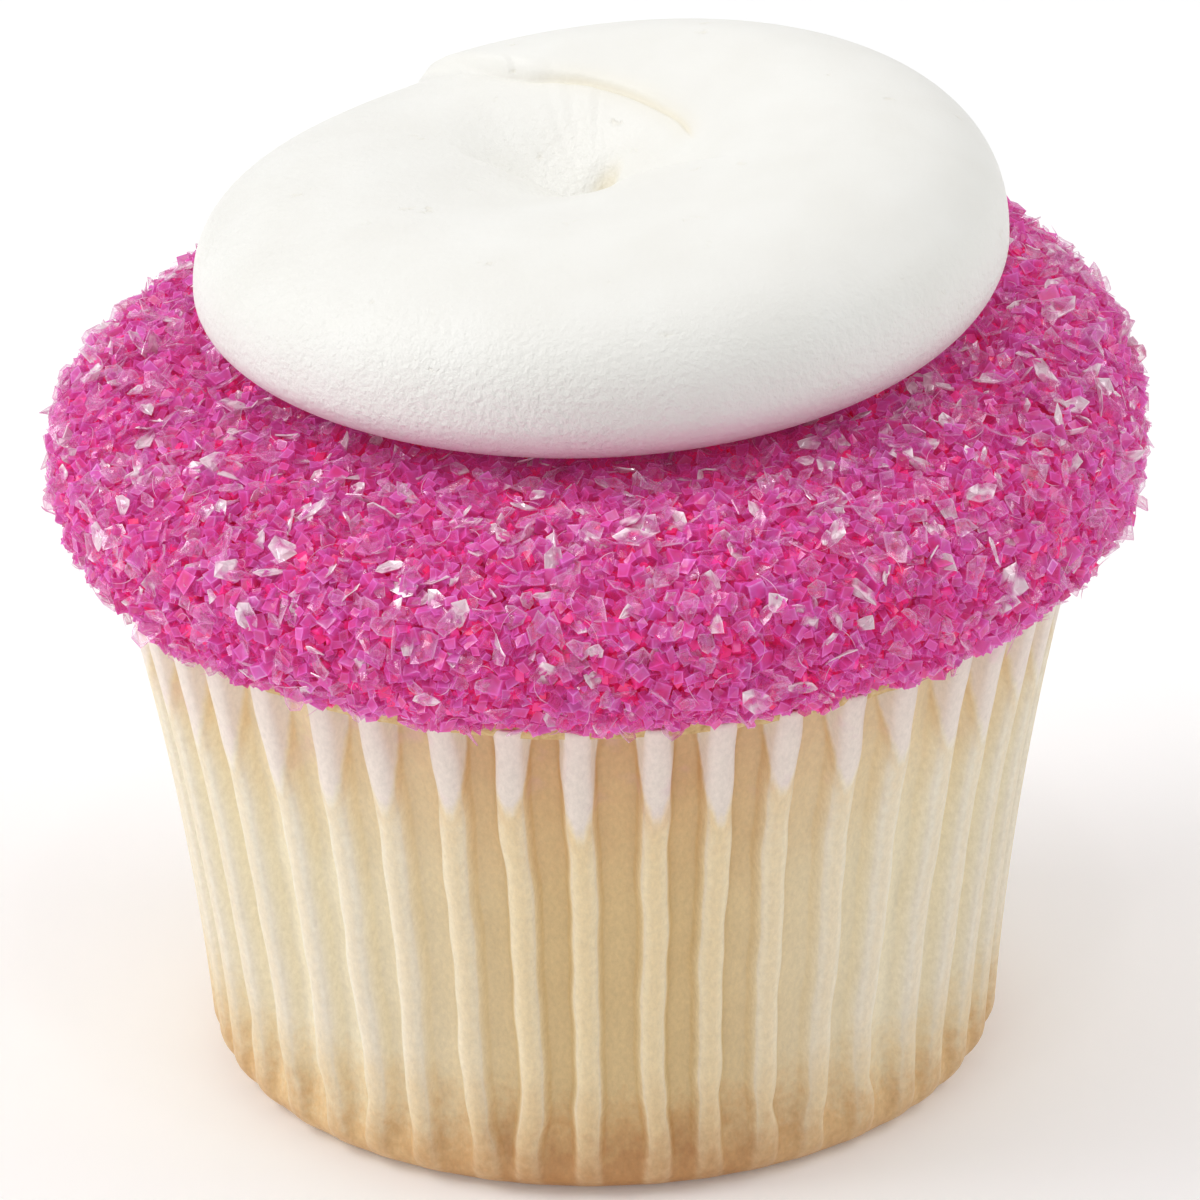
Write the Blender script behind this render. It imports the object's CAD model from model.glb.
# %% [markdown]
# # A cupcake with sugared icing and one fat piped swirl
#
# The cake was measured and built as four plain solids first: a fluted paper case, the
# sponge in it, a mound of base icing and a piped swirl. This lesson dresses those solids
# one by one. It begins by loading them, because the finer pieces have to fit them.

# %% Load the solids
import math

import bmesh
import bpy
import numpy as np
from mathutils import Matrix, Vector, noise


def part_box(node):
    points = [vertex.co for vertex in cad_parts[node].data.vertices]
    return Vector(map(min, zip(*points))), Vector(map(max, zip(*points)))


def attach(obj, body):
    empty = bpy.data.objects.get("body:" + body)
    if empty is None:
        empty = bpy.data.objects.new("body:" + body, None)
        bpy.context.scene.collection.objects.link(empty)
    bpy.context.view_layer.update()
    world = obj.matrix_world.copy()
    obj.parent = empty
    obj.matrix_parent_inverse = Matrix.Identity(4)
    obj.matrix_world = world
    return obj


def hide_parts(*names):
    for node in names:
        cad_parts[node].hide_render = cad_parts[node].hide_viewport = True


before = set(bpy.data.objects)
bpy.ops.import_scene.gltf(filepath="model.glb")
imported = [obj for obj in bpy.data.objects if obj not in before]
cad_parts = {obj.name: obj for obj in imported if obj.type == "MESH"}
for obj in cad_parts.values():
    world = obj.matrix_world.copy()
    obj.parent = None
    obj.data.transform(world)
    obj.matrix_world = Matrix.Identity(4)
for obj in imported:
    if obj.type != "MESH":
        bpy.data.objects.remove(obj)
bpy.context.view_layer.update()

MM = 0.001
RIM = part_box("paper_case")[1][2] / MM
ICING_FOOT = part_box("base_icing")[0][2] / MM
SWIRL_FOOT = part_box("icing_swirl")[0][2] / MM

# %% [markdown]
# ## Small tools for making pieces
#
# Most pieces here have many thousands of faces, and one call for each face would be slow.
# Blender takes whole arrays of numbers at once, so a piece is worked out as an array of
# points in millimetres and an array of faces, and handed over in one go.

# %% Tools for meshes
def add_piece(name, points, faces, smooth=True):
    """A mesh object from an array of points, in millimetres, and faces of equal size."""
    faces = np.asarray(faces, dtype=np.int32)
    mesh = bpy.data.meshes.new(name)
    mesh.vertices.add(len(points))
    mesh.vertices.foreach_set("co", (np.asarray(points) * MM).ravel())
    mesh.loops.add(faces.size)
    mesh.loops.foreach_set("vertex_index", faces.ravel())
    mesh.polygons.add(len(faces))
    mesh.polygons.foreach_set("loop_start", np.arange(0, faces.size, faces.shape[1]))
    mesh.polygons.foreach_set("use_smooth", np.full(len(faces), smooth))
    mesh.update(calc_edges=True)
    mesh.validate()
    piece = bpy.data.objects.new(name, mesh)
    bpy.context.scene.collection.objects.link(piece)
    return piece


def grid_faces(rows, columns):
    """Quads of a grid of points that closes on itself sideways, one row after another."""
    row, column = np.meshgrid(np.arange(rows - 1), np.arange(columns), indexing="ij")
    right = (column + 1) % columns
    here, up = row * columns, (row + 1) * columns
    return np.stack([here + column, here + right, up + right, up + column], -1).reshape(-1, 4)


def write_numbers(piece, name, values, domain="POINT"):
    """Keeps a number for each point, face or corner, for a material to read by its name."""
    layer = piece.data.attributes.new(name, "FLOAT", domain)
    layer.data.foreach_set("value", np.asarray(values, dtype=np.float32).ravel())


def smooth_step(share):
    """A share from 0 to 1 that sets off and arrives gently."""
    share = np.clip(share, 0.0, 1.0)
    return share * share * (3.0 - 2.0 * share)


def hills(points, size, seed):
    """Soft random hills, about -1 to 1, one value for each point. size is in mm."""
    shift = Vector((seed * 17.3, seed * 5.1, seed * 9.7))
    return np.array([noise.noise(Vector(point) / size + shift) for point in points])


# %% [markdown]
# ## Small tools for materials
#
# A material is a tree of nodes. The ones below come up in every finish: a noise pattern
# laid out in the object's own millimetres, a ramp that turns a number into a colour, and
# a mix of two colours. Helpers for them keep each finish short enough to read.

# %% Tools for materials
class Finish:
    """A material whose tree holds one Principled shader, with helpers to add to it."""

    def __init__(self, name, **settings):
        self.material = bpy.data.materials.new(name)
        self.material.use_nodes = True
        self.tree = self.material.node_tree
        self.shader = self.tree.nodes["Principled BSDF"]
        for socket, value in settings.items():
            self.shader.inputs[socket.replace("_", " ")].default_value = value

    def node(self, kind, **settings):
        made = self.tree.nodes.new("ShaderNode" + kind)
        for key, value in settings.items():
            setattr(made, key, value)
        return made

    def feed(self, value, socket):
        """Links an output to a socket, or sets the socket to a plain value."""
        if isinstance(value, bpy.types.NodeSocket):
            self.tree.links.new(value, socket)
        else:
            socket.default_value = value

    def number(self, name):
        """A number that the mesh keeps under this name."""
        return self.node("Attribute", attribute_name=name).outputs["Fac"]

    def place(self, stretch=(1.0, 1.0, 1.0)):
        """The object's own coordinates in millimetres, stretched along X, Y and Z."""
        scale = self.node("Mapping")
        self.feed(self.node("TexCoord").outputs["Object"], scale.inputs["Vector"])
        scale.inputs["Scale"].default_value = [1.0 / MM * share for share in stretch]
        return scale.outputs["Vector"]

    def grain(self, size, detail=2.0, roughness=0.5, stretch=(1.0, 1.0, 1.0)):
        """Noise from 0 to 1 whose spots are about size millimetres across."""
        pattern = self.node("TexNoise")
        self.feed(self.place(stretch), pattern.inputs["Vector"])
        pattern.inputs["Scale"].default_value = 1.0 / size
        pattern.inputs["Detail"].default_value = detail
        pattern.inputs["Roughness"].default_value = roughness
        return pattern.outputs["Fac"]

    def maths(self, operation, first, second=0.0, third=0.0):
        made = self.node("Math", operation=operation)
        for value, socket in zip((first, second, third), made.inputs):
            self.feed(value, socket)
        return made.outputs["Value"]

    def between(self, value, low, high):
        """0 below low, 1 above high and a smooth rise between them."""
        made = self.node("MapRange", interpolation_type="SMOOTHSTEP")
        self.feed(value, made.inputs["Value"])
        self.feed(low, made.inputs["From Min"])
        self.feed(high, made.inputs["From Max"])
        return made.outputs["Result"]

    def ramp(self, value, *stops):
        """A colour for each place on a scale, given as (place, (red, green, blue))."""
        made = self.node("ValToRGB")
        band = made.color_ramp
        while len(band.elements) < len(stops):
            band.elements.new(0.5)
        for element, (place, colour) in zip(band.elements, stops):
            element.position = place
            element.color = (*colour, 1.0)
        self.feed(value, made.inputs["Fac"])
        return made.outputs["Color"]

    def blend(self, share, first, second, how="MIX"):
        """The first colour where share is 0, the second where it is 1."""
        made = self.node("Mix", data_type="RGBA", blend_type=how)
        self.feed(share, made.inputs["Factor"])
        sockets = [s for s in made.inputs if s.type == "RGBA"]
        for value, socket in zip((first, second), sockets):
            self.feed((*value, 1.0) if isinstance(value, tuple) else value, socket)
        return [s for s in made.outputs if s.type == "RGBA"][0]

    def vary(self, pattern, amount, around):
        """A number swayed up and down by a pattern, amount from its least to its most."""
        return self.maths("MULTIPLY_ADD", self.maths("SUBTRACT", pattern, 0.5), amount, around)

    def relief(self, height, distance, strength=1.0):
        """Bump whose height of 1 stands distance millimetres proud."""
        bump = self.node("Bump")
        bump.inputs["Distance"].default_value = distance * MM
        bump.inputs["Strength"].default_value = strength
        self.feed(height, bump.inputs["Height"])
        self.feed(bump.outputs["Normal"], self.shader.inputs["Normal"])


def dress(piece, finish, slot, *nodes):
    """Gives a piece its finish, and ties it to the solids it stands for."""
    piece.data.materials.clear()
    piece.data.materials.append(finish.material)
    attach(piece, "root")
    if nodes:
        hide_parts(*nodes)
    print(piece.name, "faces:", len(piece.data.polygons))


# %% [markdown]
# ## The paper case
#
# A baking case is one disc of greaseproof paper, pressed into flutes. Each flute is a
# narrow ridge with rounded shoulders, and between ridges the paper lies flat against the
# cake. It could be drawn as a wavy tube, but a plain wave is too soft: pressed paper has
# tight bends with nearly flat strips between them. So each flute gets sixteen points set
# where the paper bends: six across the ridge's top, four down each side and two along the
# valley. The bends wander a little, and slip sideways where the case was pressed at its foot.

# %% The bends of one flute
FLUTES = 43
FOOT_RADIUS = 26.38             # where the line of the ridges meets the table
FOOT_CORNER = 3.0
RIDGE_TOP = (0.36, 0.38)        # width of a ridge's top at the foot and at the rim
SIDE_SHARE = (0.15, 0.10)       # width of each side of it; all are shares of a flute
RIDGE_DEPTH = (1.15, 1.75)
TOP_DROP = 0.2                  # how much of its depth the rounded top takes up
SHOULDER = 0.25                 # how far into its smooth fall a side begins
VALLEY_LIFT = 0.03              # the valley's middle stands out by this share of the depth
VALLEY_REACH = 1.2              # how far a valley's middle lies from the ridge, in mm
PRESSED_FOOT = 5.5              # below this height the ridges are pressed flatter

# Each bend is (side of the ridge's middle, how far across its top, how far down its side,
# how far across the valley).
BENDS = [(side, across, 0.0, 0.0) for side, across in
         ((-1, 1.0), (-1, 0.72), (-1, 0.28), (1, 0.28), (1, 0.72), (1, 1.0))]
BENDS += [(1, 1.0, down, 0.0) for down in (0.2, 0.45, 0.72, 1.0)]
BENDS += [(1, 1.0, 1.0, over) for over in (0.33, 0.67)]
BENDS += [(-1, 1.0, down, 0.0) for down in (1.0, 0.72, 0.45, 0.2)]
SIDE, ACROSS, DOWN, OVER = np.array(BENDS).T
OWNER = np.array([0] * 12 + [1] * 4)     # the last four points belong to the next ridge
OWN_SIDE_FOOT, NEXT_SIDE_FOOT = 9, 12    # the bends where the valley begins and ends


def wall_radius(z):
    """How far the ridges stand from the middle of the case, at a height in mm."""
    return FOOT_RADIUS + 0.069 * z + 0.0024 * z * z


def foot_to_rim(measures, level):
    """A measure that changes evenly from the foot, where level is 0, to the rim at 1."""
    return measures[0] + (measures[1] - measures[0]) * level


print("points round the case:", FLUTES * len(BENDS))

# %% Rows of points, from the inside of the rim down the wall to the middle of the base
PAPER = 0.2
INSIDE_GAP = 0.1
wall_rows = [(wall_radius(z) - PAPER - INSIDE_GAP, z) for z in (RIM - 5.0, RIM - 2.0, RIM - 0.4)]
wall_rows += [(wall_radius(RIM) - 0.5 * PAPER, RIM), (wall_radius(RIM), RIM - 0.5 * PAPER)]
wall_rows += [(wall_radius(z), z) for z in np.linspace(RIM - 0.5, FOOT_CORNER, 56)]
corner_x = wall_radius(FOOT_CORNER) - FOOT_CORNER
for turn in np.radians(np.linspace(0, 90, 10)[1:]):
    wall_rows.append((corner_x + FOOT_CORNER * math.cos(turn),
                      FOOT_CORNER * (1.0 - math.sin(turn))))
wall_rows += [(radius, 0.0) for radius in (21.0, 17.0, 12.0, 7.0, 3.0, 0.02)]
row_radius, row_z = np.array(wall_rows).T
print("rows up the case:", len(wall_rows))

# %% Pressed paper is never quite regular
SLIP_LENGTH, PINCH_LENGTH = 2.2, 0.9     # how far up the paper a slip or a pinch takes place
chance = np.random.default_rng(11)
lean_of_ridge = np.radians(chance.uniform(-0.5, 0.5, FLUTES))


def wander(rows, waves, size):
    """A slow sideways drift along each ridge, in mm: ridges down, rows across."""
    drift = np.zeros((FLUTES, len(rows)))
    for length in waves:
        start = chance.uniform(0, 2 * math.pi, (FLUTES, 1))
        share = chance.uniform(0.4, 1.0, (FLUTES, 1))
        drift += size * share * np.sin(2 * math.pi * rows / length + start)
    return drift


slip_height = chance.uniform(5.2, 7.6, (FLUTES, 1))
slip = chance.choice([-1.0, 1.0], (FLUTES, 1)) * chance.uniform(0.0, 0.4, (FLUTES, 1))
pinch = np.exp(-((row_z - slip_height) / PINCH_LENGTH) ** 2)
pinch *= chance.uniform(-0.15, 0.2, (FLUTES, 1))
ridge_shift = wander(row_z, (29.0, 14.0), 0.12)
ridge_shift += slip * smooth_step((slip_height - row_z) / SLIP_LENGTH)
left_edge = wander(row_z, (8.0, 4.5), 0.05) + pinch
right_edge = wander(row_z, (8.0, 4.5), 0.05) - pinch
depth_share = 1.0 + wander(row_z, (17.0, 7.0), 0.05)
print("largest slip of a bend, mm:", round(float(np.abs(slip).max()), 2))


# %% Place every point of the case
def case_points():
    """Points of all rows and bends, with what the paper's finish needs to know."""
    z = row_z[:, None, None]
    radius = row_radius[:, None, None]
    flute = np.arange(FLUTES)[None, :, None]
    owner = ((flute + OWNER) % FLUTES)[0]
    level = np.clip(z / RIM, 0.0, 1.0)
    flute_width = 2 * math.pi * radius / FLUTES
    half_top = 0.5 * foot_to_rim(RIDGE_TOP, level) * flute_width
    side_width = foot_to_rim(SIDE_SHARE, level) * flute_width
    own_edge = np.where(SIDE < 0, left_edge.T[:, owner], right_edge.T[:, owner])
    shift = ridge_shift.T[:, owner] + own_edge * ACROSS
    reach = SIDE * (half_top * ACROSS + side_width * DOWN) + shift
    turn = (flute + OWNER) * 2 * math.pi / FLUTES + lean_of_ridge[owner]
    turn = turn + reach / np.maximum(radius, 1.0)
    # the two points in the valley lie between the feet of two ridges
    foot, next_foot = turn[:, :, [OWN_SIDE_FOOT]], turn[:, :, [NEXT_SIDE_FOOT]]
    next_foot = np.where(next_foot < foot, next_foot + 2 * math.pi, next_foot)
    valley = OVER > 0
    turn = np.where(valley, foot + (next_foot - foot) * OVER, turn)
    depth = foot_to_rim(RIDGE_DEPTH, level) * depth_share.T[:, owner]
    depth = depth * smooth_step(z / PRESSED_FOOT) ** 0.7
    top = 1.0 - TOP_DROP * ACROSS ** 2.5
    fall = 1.0 - smooth_step(SHOULDER + (1.0 - SHOULDER) * DOWN)
    side = (1.0 - TOP_DROP) * fall / (1.0 - smooth_step(SHOULDER))
    height = np.where(DOWN > 0, side, top)
    radius = radius - depth * (1.0 - np.where(valley, -VALLEY_LIFT, height))
    place = np.stack([radius * np.cos(turn), radius * np.sin(turn),
                      np.broadcast_to(z, turn.shape)], -1)
    unfolded = half_top * ACROSS + np.hypot(side_width, depth) * DOWN
    unfolded = unfolded + np.where(valley, VALLEY_REACH, 0.0)
    return place, height, unfolded


case_place, case_height, case_unfolded = case_points()
print("case reaches, mm:", np.abs(case_place).reshape(-1, 3).max(0).round(2))

# %% [markdown]
# Along the rim each ridge stands clear of the cake and stays dry, white and opaque, in a
# tongue that narrows to a point further down. The tongue's edge is worked out along the
# unfolded paper, so that it bends with the flute. The mesh only carries numbers, such as
# the distance from that edge and how far butter has soaked in: the finish colours them.

# %% Build the case
TONGUE_WIDTH, TONGUE_BLUNTNESS, TONGUE_MARGIN = 3.6, 1.1, 0.25
SOAKED_SPOTS = ((-88, 1.0), (84, 0.75), (140, 0.5))     # degrees round the case, and how much
SPOT_CORE, SPOT_FADE = 6, 36    # degrees from a spot's middle, and on to its end
CREASE_START = 8.0              # creases show fully above this height
tongue_tip = RIM - chance.uniform(7.2, 10.5, FLUTES)
owner_of_bend = (np.arange(FLUTES)[:, None] + OWNER) % FLUTES
tip = tongue_tip[owner_of_bend][None]
level_in_tongue = np.clip((row_z[:, None, None] - tip) / (RIM - tip), 0.0, 1.0)
dryness = TONGUE_WIDTH * level_in_tongue ** TONGUE_BLUNTNESS - case_unfolded - TONGUE_MARGIN
bearing = np.degrees(np.arctan2(case_place[..., 1], case_place[..., 0]))
soaked_share = np.zeros(dryness.shape)
for spot, share in SOAKED_SPOTS:
    off = np.abs((bearing - spot + 180) % 360 - 180)
    near = share * (1 - smooth_step((off - SPOT_CORE) / SPOT_FADE))
    soaked_share = np.maximum(soaked_share, near)

case = add_piece("pleated_case", case_place.reshape(-1, 3),
                 grid_faces(len(wall_rows), FLUTES * len(BENDS)))
crease = np.where((ACROSS == 1) & (DOWN == 0), 1.0, 0.0)
crease = crease * smooth_step(row_z[:, None, None] / CREASE_START)
for name, values in (("dry", dryness), ("ridge", case_height), ("soak", soaked_share),
                     ("level", row_z[:, None, None] / RIM), ("crease", crease)):
    write_numbers(case, name, np.broadcast_to(values, dryness.shape))

# %% [markdown]
# ### The paper's finish
#
# Greaseproof paper soaked by the cake turns glassy and shows the crumb behind it: tan in
# the valleys, cream on the ridges, and golden brown round the foot where the cake baked
# hardest. Colour ramps run up the wall, one for soaked and one for paler paper, for the
# valleys and for the ridges, and noise mixes them so that fibres show. The creases at a
# ridge's shoulders are palest, because a crease breaks the paper's waxy skin.

# %% Greaseproof paper: its colours
paper = Finish("greaseproof_paper", Roughness=0.5, Specular_IOR_Level=0.35)
patches = paper.grain(3.5, 3.0)
mottle = paper.grain(0.8, 3.0, 0.6)
fibres = paper.grain(0.3, 3.0, 0.7, (1.0, 1.0, 0.6))
soak = paper.number("soak")
level = paper.vary(mottle, 0.16, paper.vary(patches, 0.12, paper.number("level")))
soaked_valley = paper.ramp(
    level, (0.0, (0.54, 0.27, 0.10)), (0.07, (0.61, 0.33, 0.135)), (0.14, (0.71, 0.46, 0.21)),
    (0.22, (0.785, 0.60, 0.32)), (0.6, (0.795, 0.60, 0.315)), (0.82, (0.77, 0.53, 0.265)),
    (1.0, (0.69, 0.41, 0.21)))
pale_valley = paper.ramp(
    level, (0.0, (0.66, 0.40, 0.18)), (0.07, (0.79, 0.54, 0.27)), (0.15, (0.89, 0.73, 0.47)),
    (0.25, (0.94, 0.85, 0.64)), (0.6, (0.94, 0.85, 0.63)), (0.85, (0.92, 0.77, 0.51)),
    (1.0, (0.87, 0.66, 0.41)))
soaked_ridge = paper.ramp(
    level, (0.0, (0.58, 0.33, 0.15)), (0.07, (0.70, 0.47, 0.26)), (0.15, (0.83, 0.65, 0.40)),
    (0.28, (0.93, 0.80, 0.545)), (0.7, (0.94, 0.80, 0.535)), (1.0, (0.89, 0.69, 0.43)))
pale_ridge = paper.ramp(
    level, (0.0, (0.68, 0.43, 0.21)), (0.07, (0.78, 0.56, 0.32)), (0.15, (0.89, 0.76, 0.54)),
    (0.28, (0.93, 0.87, 0.74)), (0.7, (0.93, 0.87, 0.72)), (1.0, (0.91, 0.78, 0.57)))

# %% Greaseproof paper: soaked and dry parts
on_ridge = paper.between(paper.vary(fibres, 0.35, paper.number("ridge")), 0.05, 0.95)
soaked_paper = paper.blend(soak, paper.blend(on_ridge, pale_valley, pale_ridge),
                           paper.blend(on_ridge, soaked_valley, soaked_ridge))
crease_share = paper.maths("MULTIPLY", paper.between(paper.number("crease"), 0.2, 1.0), 0.45)
soaked_paper = paper.blend(crease_share, soaked_paper, (0.88, 0.80, 0.66))
edge = paper.vary(mottle, 0.45, paper.number("dry"))
butter_line = paper.maths("MULTIPLY", paper.between(edge, -1.1, -0.35),
                          paper.maths("SUBTRACT", 1.0, paper.between(edge, -0.35, 0.0)))
soaked_paper = paper.blend(paper.maths("MULTIPLY", butter_line, 0.5), soaked_paper,
                           (0.90, 0.78, 0.60), "MULTIPLY")
dry = paper.between(edge, -0.2, 0.3)
paper_colour = paper.blend(dry, soaked_paper, (0.91, 0.81, 0.72))
stain = paper.maths("MULTIPLY", paper.between(patches, 0.56, 0.72),
                    paper.between(paper.number("level"), 0.72, 0.95))
paper_colour = paper.blend(paper.maths("MULTIPLY", stain, 0.3), paper_colour, (0.80, 0.46, 0.60))
speckled = paper.blend(1.0, paper_colour, paper.vary(fibres, 0.35, 1.0), "MULTIPLY")
paper.feed(speckled, paper.shader.inputs["Base Color"])
paper.feed(paper.maths("MULTIPLY_ADD", dry, 0.2, 0.45), paper.shader.inputs["Roughness"])
paper.relief(fibres, 0.03, 0.4)
dress(case, paper, "case_paper", "paper_case")

# %% [markdown]
# ## The sponge
#
# Hardly any of the cake shows: only a thin golden line of crust between the paper's rim
# and the sugar. It still gets a real surface, finely pitted like baked crumb.

# %% Sponge crust
CROWN_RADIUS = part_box("sponge")[1][0] / MM
CROWN_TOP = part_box("sponge")[1][2] / MM
CROWN_FOOT = 38.6
CROWN_FULLNESS = 2 / 2.3
BEHIND_PAPER = 2.3              # how far the crumb stays behind the ridges, lower down
CRUMB_FOOT = 0.9
PIT_DEPTH = 0.006               # as a share of the radius
SPONGE_SIDES = 240
crust_rows = [(CROWN_RADIUS * math.cos(a) ** CROWN_FULLNESS,
               CROWN_FOOT + (CROWN_TOP - CROWN_FOOT) * math.sin(a) ** CROWN_FULLNESS)
              for a in np.radians(np.linspace(89.9, 0, 30))]
crust_rows += [(wall_radius(RIM) - gap, RIM + rise)
               for gap, rise in ((0.4, 0.5), (0.27, -0.1), (0.5, -0.7))]
crust_rows += [(wall_radius(z) - BEHIND_PAPER, z)
               for z in (RIM - 1.4, RIM - 3.0, RIM - 6.0, 18.0, 3.0)]
crust_rows += [(FOOT_RADIUS - 3.0, CRUMB_FOOT), (0.1, CRUMB_FOOT)]
turns = np.linspace(0, 2 * math.pi, SPONGE_SIDES, endpoint=False)
crust_points = np.array([[(r * math.cos(a), r * math.sin(a), z) for a in turns]
                         for r, z in crust_rows]).reshape(-1, 3)
pitted = 1.0 - PIT_DEPTH * (hills(crust_points, 1.3, 3) + hills(crust_points, 0.6, 4))
crust_points[:, :2] *= pitted[:, None]
crust = add_piece("sponge_crust", crust_points, grid_faces(len(crust_rows), SPONGE_SIDES)[:, ::-1])

golden = Finish("golden_crust", Roughness=0.7)
pores = golden.grain(0.7, 4.0, 0.65)
golden.feed(golden.ramp(pores, (0.3, (0.52, 0.30, 0.10)), (0.55, (0.74, 0.52, 0.24)),
                        (0.75, (0.83, 0.68, 0.40))), golden.shader.inputs["Base Color"])
golden.relief(pores, 0.25)
dress(crust, golden, "sponge_crumb", "sponge")

# %% [markdown]
# ## The base icing under the sugar
#
# Below the sugar lies soft icing stained a strong pink. The measured solid reaches out to
# the tips of the sugar, so the icing itself is that solid drawn in by about a crystal's
# width. It shows only in the gaps, as a deep, wet red-pink.

# %% Read the sugared solid's surface
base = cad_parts["base_icing"].data
base.calc_loop_triangles()
base_points = np.empty(len(base.vertices) * 3)
base.vertices.foreach_get("co", base_points)
base_points = base_points.reshape(-1, 3) / MM
triangles = np.empty(len(base.loop_triangles) * 3, dtype=np.int32)
base.loop_triangles.foreach_get("vertices", triangles)
corners = base_points[triangles.reshape(-1, 3)]
cross = np.cross(corners[:, 1] - corners[:, 0], corners[:, 2] - corners[:, 0])
areas = 0.5 * np.linalg.norm(cross, axis=1)
facing = cross / np.maximum(2 * areas, 1e-9)[:, None]

BAND_MIDDLE = np.array([0.0, 0.0, 0.5 * (ICING_FOOT + SWIRL_FOOT)])
middles = corners.mean(1)
looks_out = ((middles - BAND_MIDDLE) * facing).sum(1) > 0
SEAT_RADIUS = 19.0              # the swirl sits here, so no sugar shows
under_swirl = np.hypot(middles[:, 0], middles[:, 1]) < SEAT_RADIUS
sugared = looks_out & ~under_swirl
print("sugared area, mm2:", round(float(areas[sugared].sum())))

# %% Draw the icing in from the tips of the sugar
core_mesh = bmesh.new()
core_mesh.from_mesh(base)
bmesh.ops.remove_doubles(core_mesh, verts=core_mesh.verts, dist=0.02 * MM)
bmesh.ops.join_triangles(core_mesh, faces=core_mesh.faces, angle_face_threshold=1.0,
                         angle_shape_threshold=1.0)
bmesh.ops.subdivide_edges(core_mesh, edges=core_mesh.edges, cuts=3, use_grid_fill=True)
core_mesh.normal_update()
SUGAR_DEPTH = 1.25
LUMP_SIZE, LUMP_DEPTH = 2.2, 0.45
for vertex in core_mesh.verts:
    place = vertex.co / MM
    if (place - Vector(BAND_MIDDLE)).dot(vertex.normal) > 0:
        lump = noise.noise(place / LUMP_SIZE) * LUMP_DEPTH
        vertex.co -= vertex.normal * (SUGAR_DEPTH + lump) * MM
core_data = bpy.data.meshes.new("icing_under_sugar")
core_mesh.to_mesh(core_data)
core_mesh.free()
core_data.shade_smooth()
core = bpy.data.objects.new("icing_under_sugar", core_data)
bpy.context.scene.collection.objects.link(core)

stained = Finish("stained_icing", Roughness=0.3, Coat_Weight=0.2)
lumps = stained.grain(1.2, 3.0)
stained.feed(stained.ramp(lumps, (0.3, (0.94, 0.02, 0.16)), (0.7, (0.96, 0.07, 0.30))),
             stained.shader.inputs["Base Color"])
stained.relief(lumps, 0.3)
dress(core, stained, "sugared_icing", "base_icing")

# %% [markdown]
# ## The sugar
#
# Coarse sugar is made of clear, dyed crystals: blocks with straight edges and a chipped
# corner here and there. A bumpy texture can't give their ragged outline, so every crystal
# is real geometry. Objects scattered one by one would be slow, so all crystals of a kind
# are worked out together as arrays and joined in one mesh.

# %% Find spots for the sugar
SUGAR_LOW, SUGAR_HIGH = middles[sugared, 2].min(), middles[sugared, 2].max()
CLUMP_SIZE, CLUMP_DEPTH = 2.4, 0.45
HANG_SIZE, HANG_DEPTH = 1.9, 1.3
HANG_BAND = 0.16                # the share of the sugar's height over which it hangs


def band_share(points):
    """0 for a place at the lower edge of the sugar, 1 for one at its top."""
    return (points[:, 2] - SUGAR_LOW) / (SUGAR_HIGH - SUGAR_LOW)


def settle(spots, faces_out):
    """Lets the sugar lie in clumps, and hang unevenly along the mound's lower edge."""
    spots = spots + faces_out * (CLUMP_DEPTH * hills(spots, CLUMP_SIZE, 7))[:, None]
    hang = HANG_DEPTH * np.clip(hills(spots, HANG_SIZE, 8) + 0.1, 0, 1)
    spots[:, 2] -= hang * smooth_step((HANG_BAND - band_share(spots)) / HANG_BAND)
    return spots


def strew(count, spacing, seed, upward=0.0):
    """Places on the sugared surface, none closer than spacing, and the way each faces.

    With upward above 0, more of them lie on the upper part of the mound."""
    picks = np.random.default_rng(seed)
    weights = areas * sugared * np.clip(band_share(middles), 0.02, 1) ** upward
    chosen = picks.choice(len(areas), count * 5, p=weights / weights.sum())
    first, second = picks.random((2, len(chosen), 1))
    flip = first + second > 1
    first, second = np.where(flip, 1 - first, first), np.where(flip, 1 - second, second)
    corner = corners[chosen]
    spots = corner[:, 0] + first * (corner[:, 1] - corner[:, 0])
    spots += second * (corner[:, 2] - corner[:, 0])
    kept, cells = [], {}
    for index, spot in enumerate(spots):
        cell = tuple(int(v // spacing) for v in spot)
        near = (cells.get((cell[0] + i, cell[1] + j, cell[2] + k))
                for i in (-1, 0, 1) for j in (-1, 0, 1) for k in (-1, 0, 1))
        if all(n is None or (spots[n] - spot) @ (spots[n] - spot) > spacing ** 2 for n in near):
            cells[cell] = index
            kept.append(index)
            if len(kept) == count:
                break
    print("spots asked and found:", count, len(kept))
    return settle(spots[kept], facing[chosen[kept]]), facing[chosen[kept]]


def any_turn(count, picks):
    """Random turns in space, as an array of 3 by 3 matrices."""
    q = picks.normal(size=(count, 4))
    w, x, y, z = (q / np.linalg.norm(q, axis=1)[:, None]).T
    return np.stack([1 - 2 * (y * y + z * z), 2 * (x * y - w * z), 2 * (x * z + w * y),
                     2 * (x * y + w * z), 1 - 2 * (x * x + z * z), 2 * (y * z - w * x),
                     2 * (x * z - w * y), 2 * (y * z + w * x), 1 - 2 * (x * x + y * y)],
                    -1).reshape(-1, 3, 3)


def lying_axes(faces_out, wobble, picks):
    """Axes for pieces that lie on the mound: each one's Z leans off it by a random wobble."""
    up = faces_out + picks.normal(0, wobble, faces_out.shape)
    up /= np.linalg.norm(up, axis=1)[:, None]
    along = np.cross(up, picks.normal(size=up.shape))
    along /= np.linalg.norm(along, axis=1)[:, None]
    return np.stack([along, np.cross(up, along), up], -1)


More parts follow.
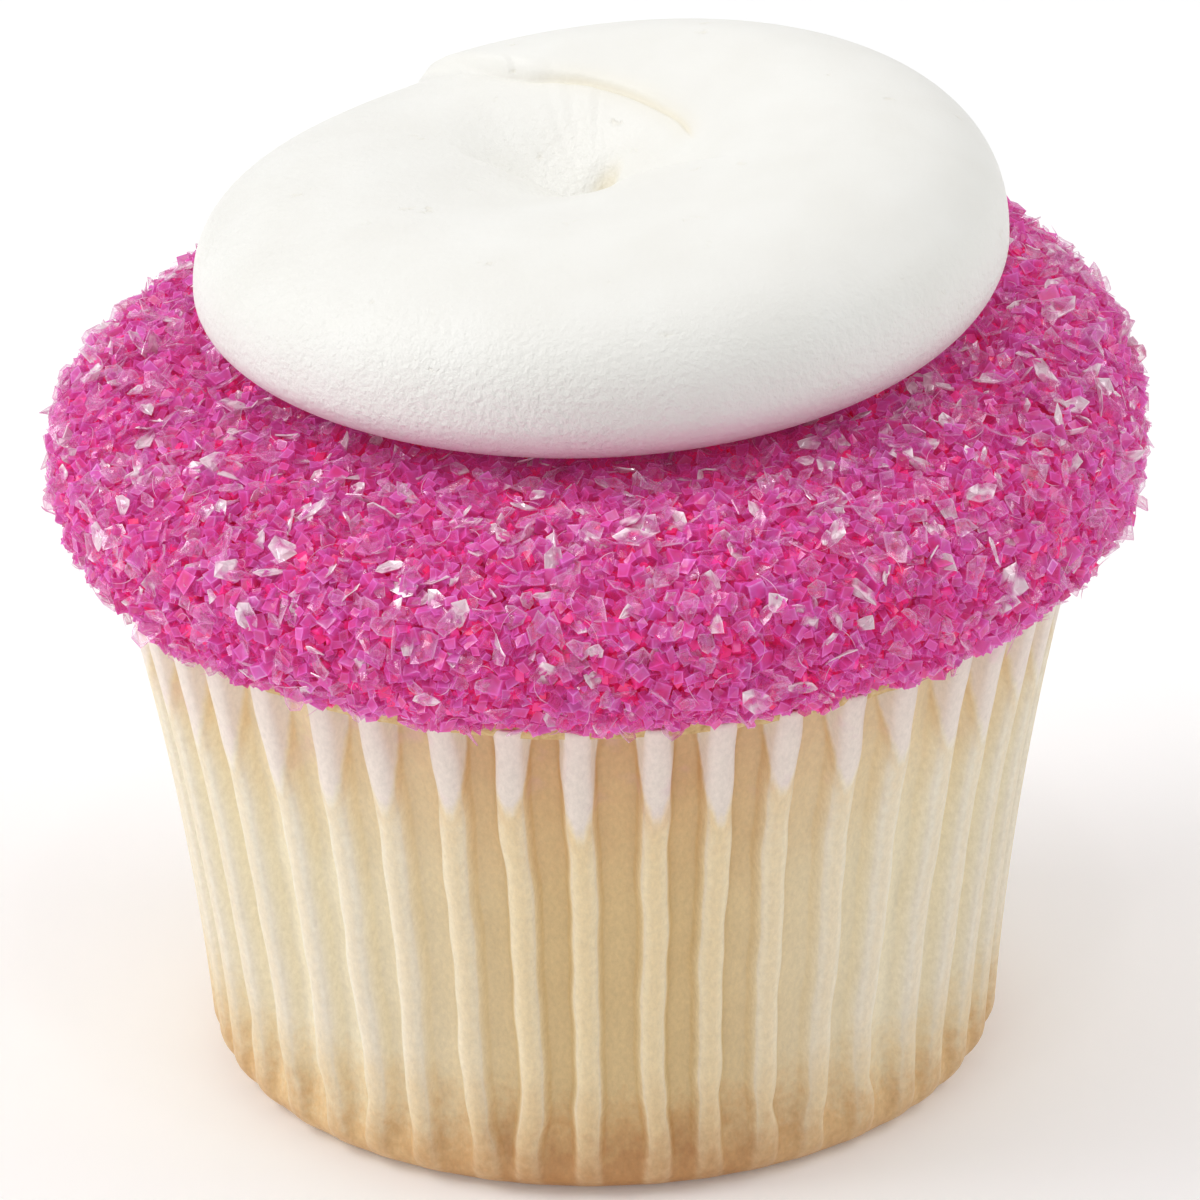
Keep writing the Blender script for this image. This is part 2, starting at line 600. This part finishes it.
# %% Blocks of sugar
BLOCK = np.array([(x, y, z) for x in (-0.5, 0.5) for y in (-0.5, 0.5) for z in (-0.5, 0.5)])
BLOCK_FACES = np.array([(0, 1, 3, 2), (4, 6, 7, 5), (0, 4, 5, 1), (2, 3, 7, 6), (0, 2, 6, 4),
                        (1, 5, 7, 3)])


def sugar_blocks(name, count, spacing, sizes, depths, seed):
    """One mesh of many crystals, each a block of its own size, shape, place and tint."""
    picks = np.random.default_rng(seed)
    spots, faces_out = strew(count, spacing, seed)
    count = len(spots)
    size = picks.triangular(*sizes, (count, 1, 1))
    shape = picks.uniform(0.5, 1.05, (count, 1, 3))
    block = (BLOCK + picks.uniform(-0.16, 0.16, (count, 8, 3))) * shape * size
    block = np.einsum("nij,nkj->nki", any_turn(count, picks), block)
    depth = picks.uniform(*depths, (count, 1))
    points = block + (spots - faces_out * depth)[:, None]
    faces = BLOCK_FACES + 8 * np.arange(count)[:, None, None]
    piece = add_piece(name, points.reshape(-1, 3), faces.reshape(-1, 4), smooth=False)
    tint = picks.uniform(0.15, 0.65, (count, 1)) + picks.uniform(-0.1, 0.1, (count, 6))
    write_numbers(piece, "tint", np.clip(tint, 0, 1), "FACE")
    write_numbers(piece, "body", picks.uniform(0.3, 0.8, (count, 6)), "FACE")
    for side, pattern in (("across", (0, 1, 1, 0)), ("along", (0, 0, 1, 1))):
        write_numbers(piece, side, np.tile(pattern, 6 * count), "CORNER")
    return piece


coarse = sugar_blocks("coarse_sugar", count=13500, spacing=0.5, sizes=(0.5, 0.85, 1.25),
                      depths=(0.3, 1.0), seed=21)
fine = sugar_blocks("fine_sugar", count=15500, spacing=0.36, sizes=(0.45, 0.65, 0.9),
                    depths=(0.6, 1.45), seed=22)

# %% [markdown]
# ### Glassy pink crystals
#
# A real crystal bends light, so each of its faces shows another shade, and shades run
# across a face too. True glass by the thousand would be dark and slow to draw. Here each
# face has a tint of its own, noise clouds it from within, and the outer crystals are
# partly see-through, so that they glow with the colour of those beneath.

# %% Clear pink sugar
def cloudy_tint(finish):
    """Each face's own tint with soft clouds in it, on a surface with faint ripples."""
    clouds = finish.grain(0.7, 1.0)
    finish.relief(clouds, 0.06)
    return finish.vary(clouds, 0.9, finish.number("tint"))


def face_edge(finish):
    """1 along the edges of each face of a block, 0 over the middle of the face."""
    sides = [finish.maths("ABSOLUTE", finish.maths("SUBTRACT", finish.number(side), 0.5))
             for side in ("across", "along")]
    return finish.between(finish.maths("MAXIMUM", *sides), 0.3, 0.5)


def glow(finish, colour, strength):
    """A trace of light of its own, for the light that soaks on from crystal to crystal."""
    finish.shader.inputs["Emission Color"].default_value = (*colour, 1)
    finish.shader.inputs["Emission Strength"].default_value = strength


crystal = Finish("clear_pink_crystal", Roughness=0.12, IOR=1.55)
edge = face_edge(crystal)
crystal_colour = crystal.ramp(
    crystal.maths("MULTIPLY_ADD", edge, 0.25, cloudy_tint(crystal)),
    (0.0, (0.86, 0.055, 0.28)), (0.35, (0.86, 0.095, 0.46)), (0.7, (0.86, 0.16, 0.65)),
    (0.9, (0.89, 0.28, 0.76)), (1.0, (0.94, 0.46, 0.84)))
crystal.feed(crystal_colour, crystal.shader.inputs["Base Color"])
crystal.feed(crystal.maths("MULTIPLY_ADD", edge, 0.2, crystal.number("body")),
             crystal.shader.inputs["Alpha"])
glow(crystal, (1.0, 0.12, 0.45), 0.045)
dress(coarse, crystal, "sugared_icing")

deep = Finish("deep_pink_crystal", Roughness=0.15, IOR=1.5)
deep_colour = deep.ramp(
    cloudy_tint(deep), (0.0, (0.95, 0.02, 0.15)), (0.4, (0.95, 0.04, 0.28)),
    (0.8, (0.95, 0.09, 0.46)), (1.0, (0.94, 0.22, 0.66)))
deep.feed(deep_colour, deep.shader.inputs["Base Color"])
glow(deep, (1.0, 0.05, 0.26), 0.09)
dress(fine, deep, "sugared_icing")

# %% [markdown]
# ### Flakes and splinters
#
# Between the blocks lie larger, thin flakes, most of them on the upper part of the mound.
# Some are clear as film and some frosted white in patches. Fine splinters, bent like
# eyelashes, cross them. Both kinds are worked out as arrays in the same way as the blocks.

# %% Flakes
FLAKE_RIM = 7


def sugar_flakes(name, count, spacing, sizes, seed):
    """Thin, crumpled flakes with a ragged outline, lying and standing at all angles."""
    picks = np.random.default_rng(seed)
    spots, faces_out = strew(count, spacing, seed, upward=0.9)
    count = len(spots)
    turn = np.linspace(0, 2 * math.pi, FLAKE_RIM, endpoint=False)
    turn = turn + picks.uniform(-0.35, 0.35, (count, FLAKE_RIM))
    reach = picks.uniform(0.5, 1.0, (count, FLAKE_RIM)) * 0.5
    size = picks.triangular(*sizes, (count, 1))
    slim = picks.uniform(0.4, 1.0, (count, 1))
    x, y = [np.zeros((count, 1))], [np.zeros((count, 1))]
    for share in (0.5, 1.0):
        x.append(np.cos(turn + 0.3 * share) * reach * share)
        y.append(np.sin(turn + 0.3 * share) * reach * share)
    x = np.concatenate(x, 1) * size
    y = np.concatenate(y, 1) * size * slim
    curl = picks.uniform(-0.3, 0.3, (count, 1)) * x * x / size
    curl += picks.normal(0, 0.03, x.shape) * size
    thick = picks.uniform(0.05, 0.11, (count, 1))
    flake = np.concatenate([np.stack([x, y, curl + side * thick], -1) for side in (0.5, -0.5)], 1)
    points = np.einsum("nij,nkj->nki", lying_axes(faces_out, 0.5, picks), flake)
    points += (spots - faces_out * picks.uniform(-0.2, 0.45, (count, 1)))[:, None]
    back = 1 + 2 * FLAKE_RIM
    faces = []
    for k in range(FLAKE_RIM):
        inner, inner_after = 1 + k, 1 + (k + 1) % FLAKE_RIM
        outer, outer_after = inner + FLAKE_RIM, inner_after + FLAKE_RIM
        front = [(0, inner, inner_after), (inner, outer, outer_after),
                 (inner, outer_after, inner_after)]
        faces += front + [tuple(back + corner for corner in reversed(face)) for face in front]
        faces += [(outer, back + outer, back + outer_after),
                  (outer, back + outer_after, outer_after)]
    per_flake = len(faces)
    faces = np.array(faces) + 2 * back * np.arange(count)[:, None, None]
    piece = add_piece(name, points.reshape(-1, 3), faces.reshape(-1, 3), smooth=False)
    write_numbers(piece, "tint", np.repeat(picks.uniform(0, 1, count), per_flake), "FACE")
    write_numbers(piece, "body", picks.uniform(0.05, 0.4, (count, per_flake)), "FACE")
    rim = np.array([0.0] + [0.5] * FLAKE_RIM + [1.0] * FLAKE_RIM)
    write_numbers(piece, "rim", np.tile(rim, 2 * count))
    frosted = picks.random(count) < 0.08 + 0.34 * band_share(spots)
    write_numbers(piece, "frost", np.repeat(frosted, 2 * back))
    return piece


flakes = sugar_flakes("sugar_flakes", count=2300, spacing=0.8, sizes=(1.3, 2.1, 3.6), seed=31)
film = Finish("clear_flake", Roughness=0.12, IOR=1.7, Specular_IOR_Level=1.0)
rim = film.between(film.number("rim"), 0.8, 1.0)
film_colour = film.ramp(
    film.maths("MULTIPLY_ADD", rim, 0.25, cloudy_tint(film)),
    (0.0, (0.90, 0.16, 0.54)), (0.7, (0.92, 0.32, 0.70)), (1.0, (0.96, 0.56, 0.82)))
frost = film.maths("MULTIPLY", film.number("frost"), film.between(film.grain(1.3, 1.0), 0.42, 0.6))
film.feed(film.blend(frost, film_colour, (1.0, 0.80, 0.89)), film.shader.inputs["Base Color"])
body = film.maths("MULTIPLY_ADD", rim, 0.2, film.number("body"))
film.feed(film.maths("MULTIPLY_ADD", frost, 0.5, body), film.shader.inputs["Alpha"])
dress(flakes, film, "sugared_icing")

# %% Splinters
def sugar_splinters(name, count, spacing, seed):
    """Thin, bent needles of clear sugar: three-sided, thickest at the middle."""
    picks = np.random.default_rng(seed)
    spots, faces_out = strew(count, spacing, seed)
    count, steps, sides = len(spots), 9, 3
    share = np.linspace(-1, 1, steps)
    reach = picks.uniform(0.5, 1.3, (count, 1))
    bend = picks.uniform(0.1, 0.6, (count, 1))
    spine = np.stack([share * reach, bend * reach * share ** 2, 0 * share * reach], -1)
    thick = picks.uniform(0.02, 0.04, (count, 1)) * (1 - 0.85 * share ** 2)
    ring = 2 * math.pi * np.arange(sides) / sides
    swell = np.stack([0 * ring, np.cos(ring), np.sin(ring)], -1)
    needle = spine[:, :, None] + thick[:, :, None, None] * swell
    needle = needle.reshape(count, -1, 3)
    points = np.einsum("nij,nkj->nki", lying_axes(faces_out, 0.35, picks), needle)
    points += (spots + faces_out * picks.uniform(0, 0.25, (count, 1)))[:, None]
    faces = grid_faces(steps, sides) + steps * sides * np.arange(count)[:, None, None]
    return add_piece(name, points.reshape(-1, 3), faces.reshape(-1, 4))


splinters = sugar_splinters("sugar_splinters", count=500, spacing=1.2, seed=41)
bright = Finish("bright_splinter", Roughness=0.15, IOR=1.6)
bright.shader.inputs["Base Color"].default_value = (0.95, 0.50, 0.74, 1)
dress(splinters, bright, "sugared_icing")

# %% [markdown]
# ## The piped swirl
#
# The white icing was piped as one fat rope, once round, its end pulled in and down at the
# middle. Its first turn is laid over its last along a seam, which runs in from the back
# edge and winds round the dimple. A sculpted mesh would do, but would have to be made by
# hand: here formulas give the height of the rope at any place, so that the rings of the
# mesh can follow the seam and crowd together where it is sharp.

# %% The rope's measures
ROPE_MIDDLE = 13.6
ROPE_HEIGHT = 56.4
ROPE_RISE = 8.2
ROPE_FULLNESS = 2.4
UNDERSIDE_CUT = 1.2
SWELL, SWELL_TURN = 0.165, math.radians(13)
DIMPLE = np.array([1.0, 4.9])
DIMPLE_DEPTH = 6.0
DIMPLE_SHARE = 0.62             # how far out the dimple reaches, as a share of the way
SEAM_START, SEAM_TURN = math.radians(132), math.radians(165)
SEAM_STEP = 1.5
SAG_TURN = math.radians(65)
LEAN, LEAN_RADIUS, LEAN_TURN = 0.065, 30.0, math.radians(25)
ICING_TOP = 51.5


def lean(x, y):
    """How far the swirl leans up at a place, in mm."""
    run = x * math.cos(LEAN_TURN) + y * math.sin(LEAN_TURN)
    return LEAN * run * np.hypot(x, y) / LEAN_RADIUS


def swirl_edge(angle):
    """The swirl's outline: its radius at each angle, slightly oval."""
    turn = angle + math.radians(32)
    return 26.3 + 0.8 * np.cos(turn) + 1.1 * np.cos(2 * turn)


# %% The seam's course, by degrees after its start and its distance from the dimple in mm
SEAM_COURSE = np.array([(-30, 60.0), (4, 40.0), (5.8, 25.0), (6.6, 19.0), (7.6, 15.4), (9.5, 12.8),
                        (13, 11.2), (23, 9.2), (34, 7.8), (50, 6.4), (64, 5.65), (84, 5.0),
                        (104, 4.8), (124, 5.1), (150, 6.2), (165, 7.4), (200, 12.0)])
SEAM_END = 7.4
OUTERMOST_GUIDE = 0.65          # the guide keeps within this share of the way to the edge


def smooth_through(points, places):
    """A smooth curve through the points, read at the given places."""
    x, y = points.T
    slope = np.gradient(y, x)
    k = np.clip(np.searchsorted(x, places) - 1, 0, len(x) - 2)
    gap = x[k + 1] - x[k]
    t = (places - x[k]) / gap
    return ((1 + 2 * t) * (1 - t) ** 2 * y[k] + t * t * (3 - 2 * t) * y[k + 1]
            + t * (1 - t) * gap * ((1 - t) * slope[k] - t * slope[k + 1]))


course_turns = np.linspace(-30, 200, 921)
course = smooth_through(SEAM_COURSE, course_turns)
course_slope = np.gradient(course, np.radians(course_turns))


def turn_after_seam(angle):
    """The turn from the seam's start, from 0 to a full turn."""
    return (SEAM_START - angle) % (2 * math.pi)


def seam_degrees(angle):
    """Degrees after the seam's start. The last 60 degrees before it count as below 0."""
    turn = np.degrees(turn_after_seam(angle))
    return np.where(turn > 300, turn - 360, turn)


def seam_distance(angle):
    return np.interp(seam_degrees(angle), course_turns, course)


def beyond_seam(angle, distance):
    """How far outside the seam a place lies, square to the seam, in mm."""
    slope = np.interp(seam_degrees(angle), course_turns, course_slope)
    return (distance - seam_distance(angle)) / np.hypot(1.0, slope / np.maximum(distance, 3.0))


def ring_guide(angle, reach):
    """The line round the dimple that the rings of the mesh follow: the seam, then back out."""
    turn = turn_after_seam(angle)
    outermost = OUTERMOST_GUIDE * reach
    back = (turn - SEAM_TURN) / (2 * math.pi - SEAM_TURN)
    away = SEAM_END + (outermost - SEAM_END) * smooth_step(back)
    return np.where(turn < SEAM_TURN, np.minimum(seam_distance(angle), outermost), away)


print("nearest the seam comes to the dimple, mm:", round(float(course.min()), 2))

# %% How far the last turn of the rope lies below the first
ROLL = (0.8, 2.4)               # width over which the first turn rolls down to the seam
GROOVE_DEPTH, GROOVE_WIDTH, HALO_WIDTH = 0.2, 0.16, 0.7


def sunk(angle, distance):
    """How far a place sinks, in mm: beside the seam, and where the rope's end sags."""
    turn = turn_after_seam(angle)
    off = beyond_seam(angle, distance)
    roll_width = ROLL[0] + (ROLL[1] - ROLL[0]) * smooth_step(turn / math.radians(40))
    near = np.clip(1 - off / roll_width, 0, 1)
    tight = smooth_step(turn / math.radians(30))
    roll = tight * (1 - np.sqrt(1 - near ** 2)) + (1 - tight) * near ** 2
    fade = 1 - 0.6 * smooth_step(turn / math.radians(40))
    fade = fade * (1 - smooth_step((turn / SEAM_TURN - 0.4) / 0.5))
    sag = smooth_step((turn - 2 * math.pi + SAG_TURN) / SAG_TURN)
    step = np.where(turn > math.pi + 1, 0.0, np.where(off > 0, roll, 1.0) * fade)
    return SEAM_STEP * np.maximum(sag, step) * smooth_step(distance / 6.0)


def seam_line(angle, distance, line_width):
    """1 in the seam's groove, 0 away from it. The groove deepens as it winds inwards."""
    turn = np.degrees(turn_after_seam(angle))
    along = smooth_step((turn - 4) / 30) * (1 - smooth_step((turn - 140) / 20))
    return np.exp(-(beyond_seam(angle, distance) / line_width) ** 2) * along


# %% Rings of points over the rope
SIDES = 480
angle = np.linspace(0, 2 * math.pi, SIDES, endpoint=False)
edge_x, edge_y = np.cos(angle) * swirl_edge(angle), np.sin(angle) * swirl_edge(angle)
away = np.stack([edge_x - DIMPLE[0], edge_y - DIMPLE[1]], -1)
reach = np.linalg.norm(away, axis=1)
away /= reach[:, None]
bearing = np.arctan2(away[:, 1], away[:, 0])
guide = ring_guide(bearing, reach)
width = swirl_edge(angle) - ROPE_MIDDLE
heading = np.stack([np.cos(angle), np.sin(angle)], -1)
foot_turn = -math.asin(1 / UNDERSIDE_CUT)
drop = (ROPE_HEIGHT - ICING_TOP) * UNDERSIDE_CUT

rings = []
for share in np.linspace(0.02, 1, 6):
    radius = (ROPE_MIDDLE + width * math.cos(foot_turn)) * share
    rings.append((heading * radius[:, None], np.full(SIDES, ICING_TOP)))
for turn in np.linspace(foot_turn, 0, 18)[1:]:
    radius = ROPE_MIDDLE + width * math.cos(turn)
    rings.append((heading * radius[:, None], np.full(SIDES, ROPE_HEIGHT + drop * math.sin(turn))))
LOWER_RINGS = len(rings)        # the rings so far, all below the widest place
SEAM_BAND = 1.0                 # width of the band of close rings along the seam
HALF_BAND = 0.5 * SEAM_BAND
distances = [guide + HALF_BAND + (reach - guide - HALF_BAND) * math.cos(share)
             for share in np.linspace(0, math.pi / 2, 74)[1:]]
distances += [guide + HALF_BAND * (1 - 2 * share) for share in np.linspace(0, 1, 15)[1:]]
distances += [(guide - HALF_BAND) * (1 - share) for share in np.linspace(0, 0.997, 66)[1:]]
for distance in distances:
    place = DIMPLE + away * distance[:, None]
    beyond = np.clip((np.linalg.norm(place, axis=1) - ROPE_MIDDLE) / width, 0, 1)
    back = ROPE_RISE * (1 - beyond ** ROPE_FULLNESS) ** (1 / ROPE_FULLNESS)
    bowl = np.clip(1 - distance / (DIMPLE_SHARE * reach), 0, 1)
    rings.append((place, ROPE_HEIGHT + back - DIMPLE_DEPTH * bowl ** 2))
print("rings over the swirl:", len(rings))

# %% [markdown]
# The end of the rope was drawn in and down with the nozzle. That left a small hole with a
# steep front wall at the dimple, and streaks that bend in towards it from the back.

# %% The hole and the streaks round it
HOLE, HOLE_SIZE, HOLE_DEPTH = np.array([1.2, 6.2]), (1.1, 1.0), 0.9
LIP = np.array([(-14, 9.5), (-7.3, 6.2), (-4, 5.1), (-1, 4.6), (1.2, 3.5), (3, 1.2), (5, -1.2),
                (7.6, -3.4), (14, -8.0)])
THROAT_DEPTH, THROAT_LENGTH, THROAT_WALL = 1.5, 8, 1.6
STREAK_DEPTH = 0.055


def hole_share(place):
    """1 at the middle of the hole, fading to 0 round it."""
    off = (place - HOLE) / HOLE_SIZE
    return np.exp(-(off ** 2).sum(1))


def throat(place):
    """The hollow behind the lip: a steep front wall, and a floor that rises to the back."""
    behind = place[:, 1] - smooth_through(LIP, place[:, 0])
    wall = smooth_step(behind / THROAT_WALL + 0.5)
    floor = 1 - smooth_step((behind - 1.0) / THROAT_LENGTH)
    ends = 1 - smooth_step((np.abs(place[:, 0] - 0.5) - 4) / 6)
    return wall * floor * ends


def streaks(bearing, distance):
    """Fine waves of about -1 to 1 that bend in towards the hole."""
    lines = sum(np.sin(count * bearing + bend * distance + count) / 3
                for count, bend in ((17, 0.9), (29, 0.7), (43, 1.0)))
    turn = np.degrees(turn_after_seam(bearing))
    side = (1 - smooth_step((turn - 25) / 35)) + smooth_step((turn - 290) / 40)
    near = smooth_step((distance - 1.5) / 4) * (1 - smooth_step((distance - 7) / 7))
    inside = smooth_step((0.2 - beyond_seam(bearing, distance)) / 0.6)
    return lines * np.minimum(side, 1) * near * np.where(turn > 180, 1, inside)


# %% Join the rings into the swirl
swirl_points, seam_numbers, hole_numbers = [], [], []
for number, (place, height) in enumerate(rings):
    offset = place - DIMPLE
    distance = np.linalg.norm(offset, axis=1)
    turn = np.arctan2(offset[:, 1], offset[:, 0])
    thickness = 1 + SWELL * np.cos(angle - SWELL_TURN)
    thickness -= sunk(turn, distance) / (ROPE_HEIGHT + ROPE_RISE - ICING_TOP)
    z = ICING_TOP + (height - ICING_TOP) * thickness + lean(place[:, 0], place[:, 1])
    on_top = number >= LOWER_RINGS
    line = seam_line(turn, distance, GROOVE_WIDTH) * on_top
    halo = seam_line(turn, distance, HALO_WIDTH) * on_top
    if on_top:
        z = z - GROOVE_DEPTH * line - THROAT_DEPTH * throat(place)
        z = z - HOLE_DEPTH * hole_share(place) + STREAK_DEPTH * streaks(turn, distance)
    swirl_points.append(np.column_stack([place, z]))
    seam_numbers.append(0.6 * line + 0.4 * halo)
    hole_numbers.append(hole_share(place) * on_top)
swirl_points = np.concatenate(swirl_points)
swirl = add_piece("piped_swirl", swirl_points, grid_faces(len(rings), SIDES))
swirl_height = (swirl_points[:, 2] - ICING_TOP) / (swirl_points[:, 2].max() - ICING_TOP)
for name, values in (("seam", seam_numbers), ("hole", hole_numbers), ("height", swirl_height)):
    write_numbers(swirl, name, np.ravel(values))

# %% [markdown]
# ### Buttercream
#
# Whipped butter and sugar is a warm white, satin rather than glossy. The top was smoothed
# by its own softness, while the steep sides keep a fine grain and burst air bubbles. The
# seam and the hole look butter yellow, because light that gets in there bounces about in
# the icing before it comes out. That tint is painted in, because light that really wanders
# under a skin takes long to render.

# %% White buttercream
cream = Finish("white_buttercream", Roughness=0.42, Specular_IOR_Level=0.4)
cream_colour = cream.ramp(cream.grain(6.0), (0.3, (0.89, 0.878, 0.832)), (0.7, (0.92, 0.912, 0.872)))
seam_tint = cream.maths("MULTIPLY", cream.number("seam"), 0.45)
cream_colour = cream.blend(seam_tint, cream_colour, (0.90, 0.80, 0.56))
cream_colour = cream.blend(cream.between(cream.number("hole"), 0.15, 0.95), cream_colour,
                           (0.86, 0.80, 0.66))
bubbles = cream.node("TexVoronoi")
cream.feed(cream.place((0.6, 0.6, 1.3)), bubbles.inputs["Vector"])
bubbles.inputs["Scale"].default_value = 1.0 / 2.3
ragged = cream.vary(cream.grain(0.5, 2.0), 0.5, bubbles.outputs["Distance"])
kept = cream.between(cream.grain(2.5), 0.52, 0.62)
pits = cream.maths("MULTIPLY", kept, cream.maths("SUBTRACT", 1.0, cream.between(ragged, 0.0, 0.18)))
cream_colour = cream.blend(cream.maths("MULTIPLY", pits, 0.3), cream_colour, (0.88, 0.82, 0.66))
cream.feed(cream_colour, cream.shader.inputs["Base Color"])

# %% White buttercream: its grain
grain_share = cream.maths("SUBTRACT", 1.0, cream.between(cream.number("height"), 0.3, 0.85))
grain_share = cream.maths("MULTIPLY_ADD", grain_share, 0.85, 0.15)
fine_grain = cream.maths("MULTIPLY", cream.grain(0.5, 3.0, 0.6), grain_share)
cream.relief(cream.maths("SUBTRACT", fine_grain, cream.maths("MULTIPLY", pits, 0.3)), 0.3, 0.7)
dress(swirl, cream, "white_icing", "icing_swirl")

# %% [markdown]
# ## Floor, light and camera
#
# The floor is one sheet that curves up into a wall far behind the cake, so that no line
# shows where the room ends. White icing needs big, soft lamps, or its shadows turn hard.
# The left ones are stronger, which gives every form a lit side and a quieter one, and
# three small lamps make the sugar sparkle.

# %% Pale floor
def studio_sweep():
    """A floor that curves up into a wall behind the cake. Its sizes are in metres."""
    sheet = bpy.data.meshes.new("studio_sweep")
    half, length, flat, bend = 1.2, 2.5, 0.9, 0.35
    line = [(-length, 0.0), (flat, 0.0)]
    line += [(flat + bend * math.sin(a), bend * (1 - math.cos(a)))
             for a in np.radians((15, 30, 45, 60, 75, 90))]
    line += [(flat + bend, length)]
    points = [(x, y, z) for y, z in line for x in (-half, half)]
    faces = [(2 * k, 2 * k + 1, 2 * k + 3, 2 * k + 2) for k in range(len(line) - 1)]
    sheet.from_pydata(points, [], faces)
    sheet.shade_smooth()
    floor = bpy.data.objects.new("studio_sweep", sheet)
    bpy.context.scene.collection.objects.link(floor)
    return floor


floor = studio_sweep()
white = Finish("white_paper", Roughness=0.8)
white.shader.inputs["Base Color"].default_value = (0.92, 0.92, 0.92, 1)
white.shader.inputs["Emission Color"].default_value = (1, 1, 1, 1)
white.shader.inputs["Emission Strength"].default_value = 0.12
floor.data.materials.append(white.material)

# %% Soft studio light
world = bpy.data.worlds.new("soft_room")
bpy.context.scene.world = world
world.use_nodes = True
room = world.node_tree.nodes["Background"].inputs
room["Color"].default_value = (1, 1, 1, 1)
room["Strength"].default_value = 0.34


def softbox(name, place, size, power):
    """A round, soft lamp that looks at the cake. Its place and size are in metres."""
    light = bpy.data.lights.new(name, "AREA")
    light.shape = "DISK"
    light.size = size
    light.energy = power
    lamp = bpy.data.objects.new(name, light)
    lamp.location = place
    towards_cake = Vector((0, 0, 0.04)) - Vector(place)
    lamp.rotation_euler = towards_cake.to_track_quat("-Z", "Y").to_euler()
    bpy.context.scene.collection.objects.link(lamp)


softbox("left_softbox", (-0.7, 0.0, 0.65), size=0.6, power=4.0)
softbox("left_card", (-0.75, -0.25, 0.15), size=0.5, power=0.75)
softbox("right_softbox", (0.7, 0.0, 0.65), size=0.6, power=2.4)
softbox("top_softbox", (0.0, 0.0, 0.95), size=0.6, power=1.3)
for spark, place in enumerate(((-0.25, -0.7, 0.55), (0.35, -0.55, 0.6), (0.05, -0.3, 0.85))):
    softbox("spark_%d" % spark, place, size=0.06, power=0.17)

# %% Camera
ELEVATION = math.radians(24.8)
CAMERA_ROLL = math.radians(1.236)
DISTANCE = 0.7
target = Vector((0.000243, 0, 0.031314))
away_from_cake = Vector((0, -math.cos(ELEVATION), math.sin(ELEVATION)))
camera_data = bpy.data.cameras.new("camera")
camera_data.sensor_width = 36
camera_data.lens = 314.55
camera_data.clip_start = 0.05
camera = bpy.data.objects.new("camera", camera_data)
bpy.context.scene.collection.objects.link(camera)
right = Vector((1, 0, 0))
up = right.cross(-away_from_cake)
pose = Matrix((right, up, away_from_cake)).transposed().to_4x4()
camera.matrix_world = (Matrix.Translation(target + away_from_cake * DISTANCE) @ pose
                       @ Matrix.Rotation(-CAMERA_ROLL, 4, "Z"))
bpy.context.scene.camera = camera
bpy.context.scene.view_settings.view_transform = "Standard"
